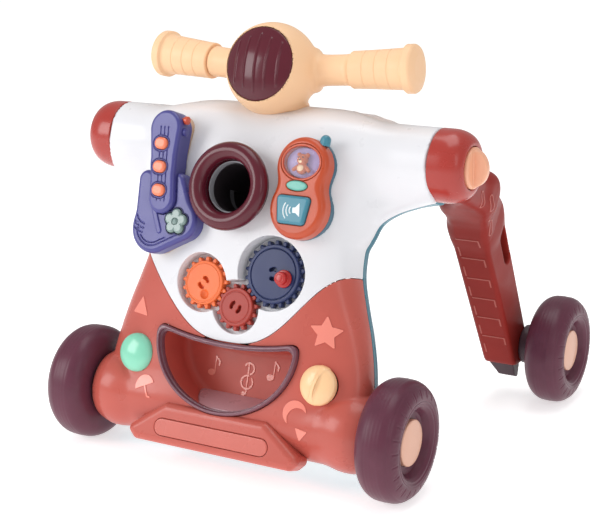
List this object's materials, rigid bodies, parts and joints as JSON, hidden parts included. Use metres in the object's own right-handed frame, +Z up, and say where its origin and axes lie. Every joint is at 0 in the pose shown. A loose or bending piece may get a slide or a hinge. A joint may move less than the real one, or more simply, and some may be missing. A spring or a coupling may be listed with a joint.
{
  "type": "baby walker",
  "caption": "Push-along baby walker with a play panel of gears, buttons and a ball drop, folding rear legs and rolling wheels.",
  "frame": {"origin": "on the floor, midway between the front and rear wheels and between left and right", "axes": "+Z up, +X to the right of a person who faces the play panel, +Y from the play panel to the rear legs"},
  "size_m": [0.475, 0.46, 0.4418],
  "materials": {
    "white_plastic": "smooth gloss white ABS",
    "red_plastic": "smooth gloss brick red ABS",
    "leg_plastic": "satin dark red ABS",
    "teal_plastic": "smooth teal ABS",
    "mauve_plastic": "mauve ABS",
    "tray_plastic": "brick red ABS",
    "maroon_plastic": "glossy maroon ABS",
    "dark_plastic": "dark grey plastic",
    "peach_plastic": "smooth peach ABS",
    "hub_plastic": "satin pale peach plastic",
    "tyre_plastic": "satin maroon-brown soft plastic",
    "violet_plastic": "blue-violet ABS",
    "coral_plastic": "coral ABS",
    "cream_plastic": "cream ABS",
    "flower_plastic": "translucent grey-green plastic",
    "orange_plastic": "burnt orange ABS",
    "blue_plastic": "sky teal ABS",
    "mint_plastic": "translucent mint plastic",
    "deep_teal_plastic": "deep teal ABS",
    "window_plastic": "clear polystyrene",
    "bear_plastic": "brown printed plastic",
    "navy_plastic": "slate blue ABS",
    "gear_orange_plastic": "bright orange ABS",
    "gear_red_plastic": "red ABS",
    "crank_plastic": "bright red ABS",
    "steel": "plain drawn steel",
    "foot_plastic": "dark purple-brown plastic"
  },
  "bodies": {
    "frame": {"front_upper_shell": "white_plastic", "front_lower_shell": "red_plastic", "back_cover": "teal_plastic", "mouth_rim": "mauve_plastic", "tray_liner": "tray_plastic", "tray_floor": "mauve_plastic", "ball_ring": "maroon_plastic", "ball_chute": "dark_plastic", "gear_plate": "white_plastic", "front_bumper": "red_plastic", "bumper_plate": "red_plastic", "front_axle": "steel", "shoulder_spindles": "dark_plastic", "battery_door": "teal_plastic", "speaker": "dark_plastic", "shell_screws": "steel", "headlight_housing": "peach_plastic", "headlight_lens": "maroon_plastic", "left_grip": "peach_plastic", "right_grip": "peach_plastic", "guitar_back": "cream_plastic", "guitar_body": "violet_plastic", "guitar_neck": "violet_plastic", "phone_back": "deep_teal_plastic", "phone_shell": "orange_plastic", "phone_antenna": "blue_plastic", "phone_window": "window_plastic", "phone_bear": "bear_plastic", "phone_light": "mint_plastic"},
    "left_leg": {"left_leg_shell": "leg_plastic", "left_shoulder_cap": "red_plastic", "left_leg_foot": "foot_plastic", "left_rear_axle": "steel"},
    "right_leg": {"right_leg_shell": "leg_plastic", "right_shoulder_cap": "red_plastic", "right_leg_foot": "foot_plastic", "right_rear_axle": "steel"},
    "front_left_wheel": {"front_left_tyre": "tyre_plastic", "front_left_hub_cap": "hub_plastic"},
    "front_right_wheel": {"front_right_tyre": "tyre_plastic", "front_right_hub_cap": "hub_plastic"},
    "rear_left_wheel": {"rear_left_tyre": "tyre_plastic", "rear_left_hub_cap": "hub_plastic"},
    "rear_right_wheel": {"rear_right_tyre": "tyre_plastic", "rear_right_hub_cap": "hub_plastic"},
    "click_knob_body": {"click_knob": "peach_plastic"},
    "crank_knob_body": {"crank_knob": "crank_plastic"},
    "green_button_body": {"green_button": "mint_plastic"},
    "guitar_button_1_body": {"guitar_button_1": "coral_plastic"},
    "guitar_button_2_body": {"guitar_button_2": "coral_plastic"},
    "guitar_button_3_body": {"guitar_button_3": "coral_plastic"},
    "guitar_flower_button_body": {"guitar_flower_button": "flower_plastic"},
    "guitar_peg_1_body": {"guitar_peg_1": "coral_plastic"},
    "guitar_peg_2_body": {"guitar_peg_2": "violet_plastic"},
    "idler_gear_body": {"idler_gear": "gear_red_plastic"},
    "large_gear_body": {"large_gear": "navy_plastic"},
    "left_lock_knob_body": {"left_lock_knob": "peach_plastic"},
    "medium_gear_body": {"medium_gear": "gear_orange_plastic"},
    "phone_speaker_button_body": {"phone_speaker_button": "blue_plastic"},
    "right_lock_knob_body": {"right_lock_knob": "peach_plastic"}
  },
  "joints": [
    {"name": "left_leg_fold", "type": "hinge", "parent": "frame", "child": "left_leg", "pos_m": [-0.2, -0.0855, 0.313], "axis": [-1, 0, 0], "range_deg": [0, 45]},
    {"name": "left_lock_turn", "type": "hinge", "parent": "left_leg", "child": "left_lock_knob_body", "pos_m": [-0.22, -0.0855, 0.313], "axis": [1, 0, 0], "range_deg": [0, 90]},
    {"name": "front_left_roll", "type": "hinge", "parent": "frame", "child": "front_left_wheel", "pos_m": [-0.1815, -0.17, 0.06], "axis": [1, 0, 0], "continuous": true},
    {"name": "rear_left_roll", "type": "hinge", "parent": "left_leg", "child": "rear_left_wheel", "pos_m": [-0.2165, 0.17, 0.06], "axis": [1, 0, 0], "continuous": true},
    {"name": "right_leg_fold", "type": "hinge", "parent": "frame", "child": "right_leg", "pos_m": [0.2, -0.0855, 0.313], "axis": [-1, 0, 0], "range_deg": [0, 45]},
    {"name": "right_lock_turn", "type": "hinge", "parent": "right_leg", "child": "right_lock_knob_body", "pos_m": [0.22, -0.0855, 0.313], "axis": [1, 0, 0], "range_deg": [0, 90]},
    {"name": "front_right_roll", "type": "hinge", "parent": "frame", "child": "front_right_wheel", "pos_m": [0.1815, -0.17, 0.06], "axis": [1, 0, 0], "continuous": true},
    {"name": "rear_right_roll", "type": "hinge", "parent": "right_leg", "child": "rear_right_wheel", "pos_m": [0.2165, 0.17, 0.06], "axis": [1, 0, 0], "continuous": true},
    {"name": "large_gear_spin", "type": "hinge", "parent": "frame", "child": "large_gear_body", "pos_m": [0.04396, -0.16182, 0.20445], "axis": [0, -0.9485, 0.3168], "continuous": true},
    {"name": "medium_gear_spin", "type": "hinge", "parent": "frame", "child": "medium_gear_body", "pos_m": [-0.03433, -0.16763, 0.18706], "axis": [0, -0.9485, 0.3168], "continuous": true},
    {"name": "idler_gear_spin", "type": "hinge", "parent": "frame", "child": "idler_gear_body", "pos_m": [0.007, -0.17373, 0.16878], "axis": [0, -0.9485, 0.3168], "continuous": true},
    {"name": "crank_spin", "type": "hinge", "parent": "large_gear_body", "child": "crank_knob_body", "pos_m": [0.05705, -0.16949, 0.20357], "axis": [0, -0.9485, 0.3168], "continuous": true},
    {"name": "click_knob_turn", "type": "hinge", "parent": "frame", "child": "click_knob_body", "pos_m": [0.107, -0.19053, 0.10903], "axis": [0, -0.9485, 0.3168], "continuous": true},
    {"name": "guitar_peg_1_turn", "type": "hinge", "parent": "frame", "child": "guitar_peg_1_body", "pos_m": [-0.073, -0.14516, 0.34586], "axis": [1, 0, 0], "continuous": true},
    {"name": "guitar_peg_2_turn", "type": "hinge", "parent": "frame", "child": "guitar_peg_2_body", "pos_m": [-0.073, -0.14897, 0.33447], "axis": [1, 0, 0], "continuous": true},
    {"name": "guitar_button_1_press", "type": "slide", "parent": "frame", "child": "guitar_button_1_body", "axis": [0, 0.9485, -0.3168], "range_m": [0, 0.002], "stiffness_N_per_m": 300, "springref_m": -0.001},
    {"name": "guitar_button_2_press", "type": "slide", "parent": "frame", "child": "guitar_button_2_body", "axis": [0, 0.9485, -0.3168], "range_m": [0, 0.002], "stiffness_N_per_m": 300, "springref_m": -0.001},
    {"name": "guitar_button_3_press", "type": "slide", "parent": "frame", "child": "guitar_button_3_body", "axis": [0, 0.9485, -0.3168], "range_m": [0, 0.002], "stiffness_N_per_m": 300, "springref_m": -0.001},
    {"name": "guitar_flower_button_press", "type": "slide", "parent": "frame", "child": "guitar_flower_button_body", "axis": [0, 0.9485, -0.3168], "range_m": [0, 0.002], "stiffness_N_per_m": 300, "springref_m": -0.001},
    {"name": "phone_speaker_button_press", "type": "slide", "parent": "frame", "child": "phone_speaker_button_body", "axis": [0, 0.9485, -0.3168], "range_m": [0, 0.002], "stiffness_N_per_m": 300, "springref_m": -0.001},
    {"name": "green_button_press", "type": "slide", "parent": "frame", "child": "green_button_body", "axis": [0, 0.9485, -0.3168], "range_m": [0, 0.002], "stiffness_N_per_m": 300, "springref_m": -0.001}
  ],
  "couplings": [
    {"joint": "idler_gear_spin", "follows": "large_gear_spin", "ratio": -1.4667},
    {"joint": "medium_gear_spin", "follows": "large_gear_spin", "ratio": 1.2941}
  ]
}
